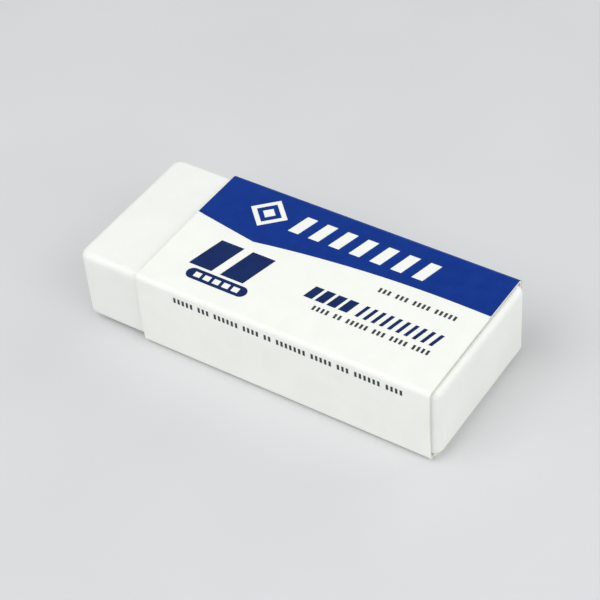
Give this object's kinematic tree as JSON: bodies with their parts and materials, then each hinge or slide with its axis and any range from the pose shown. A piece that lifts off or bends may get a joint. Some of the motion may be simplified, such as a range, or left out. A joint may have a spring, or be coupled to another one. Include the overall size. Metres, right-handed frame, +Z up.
{
  "type": "rubber eraser",
  "caption": "White block eraser in a creased card sleeve that slides along it, with a blue band on top and one end of the rubber left bare.",
  "frame": {"origin": "middle of the eraser's outline, on the underside that it rests on", "axes": "+Z up out of the printed face, +X along the block away from the rubbing end, +Y towards the long side with the band"},
  "size_m": [0.06, 0.026, 0.0133],
  "materials": {
    "vinyl_rubber": "smooth moulded, soft satin",
    "coated_card": "white coated card, semi-matt",
    "blue_ink": "deep blue offset ink under varnish",
    "navy_ink": "navy offset ink under varnish",
    "black_ink": "soft black offset ink under varnish"
  },
  "bodies": {
    "block": {"rubber_block": "vinyl_rubber"},
    "sleeve": {"card_sleeve": "coated_card", "print_blue": "blue_ink", "print_navy": "navy_ink", "print_black": "black_ink"}
  },
  "joints": [
    {"name": "sleeve_slide", "type": "slide", "parent": "block", "child": "sleeve", "axis": [1, 0, 0], "range_m": [-0.0108, 0.05]}
  ]
}
